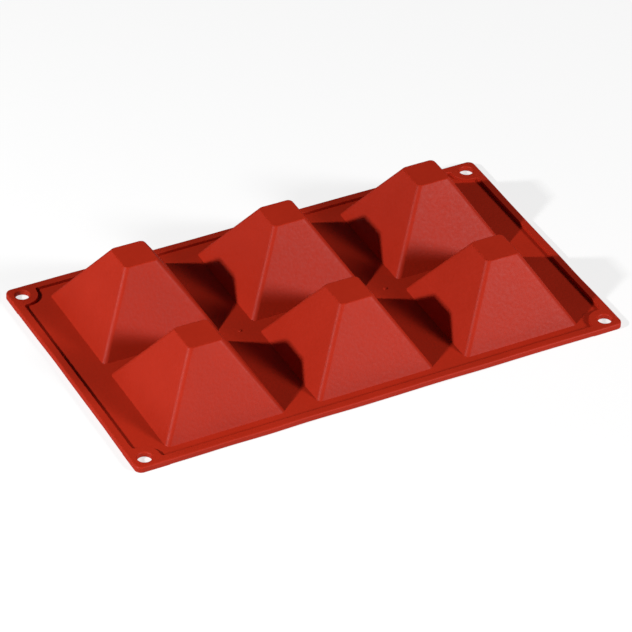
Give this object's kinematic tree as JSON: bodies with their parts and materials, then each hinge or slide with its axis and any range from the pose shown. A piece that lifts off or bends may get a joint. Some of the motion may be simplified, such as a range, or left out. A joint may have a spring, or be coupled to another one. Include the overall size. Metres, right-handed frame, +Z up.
{
  "type": "resin casting mould",
  "caption": "Flexible silicone sheet mould with pyramid cups in three columns, a thickened rim and corner eyelets; the outer columns fold on the web between cups.",
  "frame": {"origin": "centre of the pour face, which the mould lies on upside down", "axes": "+X along the sheet's long side, +Y from the front row of cups to the back row, +Z up out of the pour face towards the cup floors"},
  "size_m": [0.3, 0.175, 0.0422],
  "materials": {
    "silicone": "satin red silicone rubber, fine grain on the outside"
  },
  "bodies": {
    "centre_column": {"cup_centre_front": "silicone", "cup_centre_back": "silicone", "web_centre": "silicone", "rim_front_centre": "silicone", "rim_back_centre": "silicone", "flex_web_left": "silicone", "flex_rim_front_left": "silicone", "flex_rim_back_left": "silicone", "flex_web_right": "silicone", "flex_rim_front_right": "silicone", "flex_rim_back_right": "silicone"},
    "left_column": {"cup_left_front": "silicone", "cup_left_back": "silicone", "web_left": "silicone", "rim_front_left": "silicone", "rim_back_left": "silicone", "rim_end_left": "silicone", "eyelet_left_front": "silicone", "eyelet_left_back": "silicone"},
    "right_column": {"cup_right_front": "silicone", "cup_right_back": "silicone", "web_right": "silicone", "rim_front_right": "silicone", "rim_back_right": "silicone", "rim_end_right": "silicone", "eyelet_right_front": "silicone", "eyelet_right_back": "silicone"}
  },
  "joints": [
    {"name": "left_column_fold", "type": "hinge", "parent": "centre_column", "child": "left_column", "pos_m": [-0.04575, 0, 0.00075], "axis": [0, 1, 0], "range_deg": [-110, 75], "stiffness_Nm_per_rad": 0.02, "deforming": ["flex_web_left", "flex_rim_front_left", "flex_rim_back_left"]},
    {"name": "right_column_fold", "type": "hinge", "parent": "centre_column", "child": "right_column", "pos_m": [0.04575, 0, 0.00075], "axis": [0, -1, 0], "range_deg": [-110, 75], "stiffness_Nm_per_rad": 0.02, "deforming": ["flex_web_right", "flex_rim_front_right", "flex_rim_back_right"]}
  ]
}
